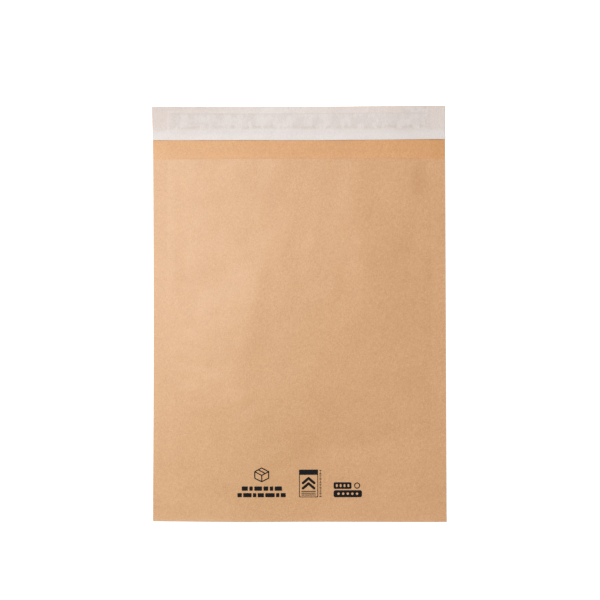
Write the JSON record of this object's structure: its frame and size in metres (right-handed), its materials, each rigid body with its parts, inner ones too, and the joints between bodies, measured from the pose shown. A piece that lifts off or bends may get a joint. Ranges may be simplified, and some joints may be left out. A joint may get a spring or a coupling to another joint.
{
  "type": "kraft paper mailer",
  "caption": "Flat mailing pouch folded from a sheet of kraft paper, glued along its sides and open at the top, with a flap that carries adhesive under a peel-off liner.",
  "frame": {"origin": "middle of the mailer's outline, on the surface that its back panel lies on", "axes": "+Y from the bottom fold towards the flap, +Z out of the printed front panel, +X to the right of someone who faces the front"},
  "size_m": [0.305, 0.433, 0.0097],
  "materials": {
    "kraft_paper": "matte",
    "adhesive": "satin",
    "release_paper": "satin"
  },
  "bodies": {
    "root": {"kraft_pouch": "kraft_paper", "closure_adhesive": "adhesive", "release_liner": "release_paper"}
  },
  "joints": []
}
